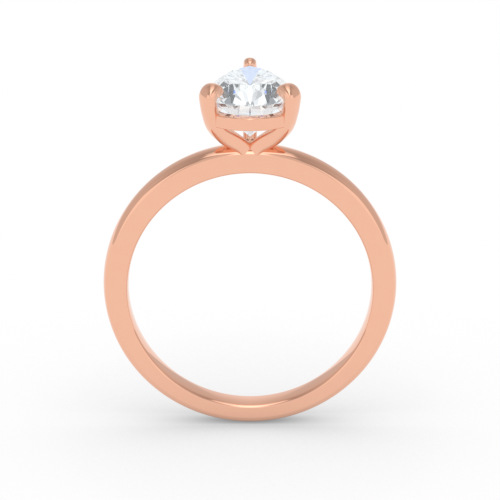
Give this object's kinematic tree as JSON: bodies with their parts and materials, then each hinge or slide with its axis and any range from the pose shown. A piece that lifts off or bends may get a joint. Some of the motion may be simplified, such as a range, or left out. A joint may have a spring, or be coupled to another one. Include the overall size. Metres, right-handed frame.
{
  "type": "engagement ring",
  "caption": "Solitaire ring: a tapering rose gold band and a claw-set pear brilliant on a gallery rail.",
  "frame": {"origin": "centre of the finger bore, half way along its axis", "axes": "+Y along the finger bore, towards the point of the pear; +Z from the bore's centre to the stone; +X to the right"},
  "size_m": [0.0204, 0.0099, 0.025],
  "materials": {
    "rose_gold": "mirror polished",
    "diamond": "polished facets"
  },
  "bodies": {
    "root": {"shank": "rose_gold", "peg_base": "rose_gold", "gallery_rail": "rose_gold", "claw_left": "rose_gold", "claw_right": "rose_gold", "claw_tip": "rose_gold", "pear_diamond": "diamond"}
  },
  "joints": []
}
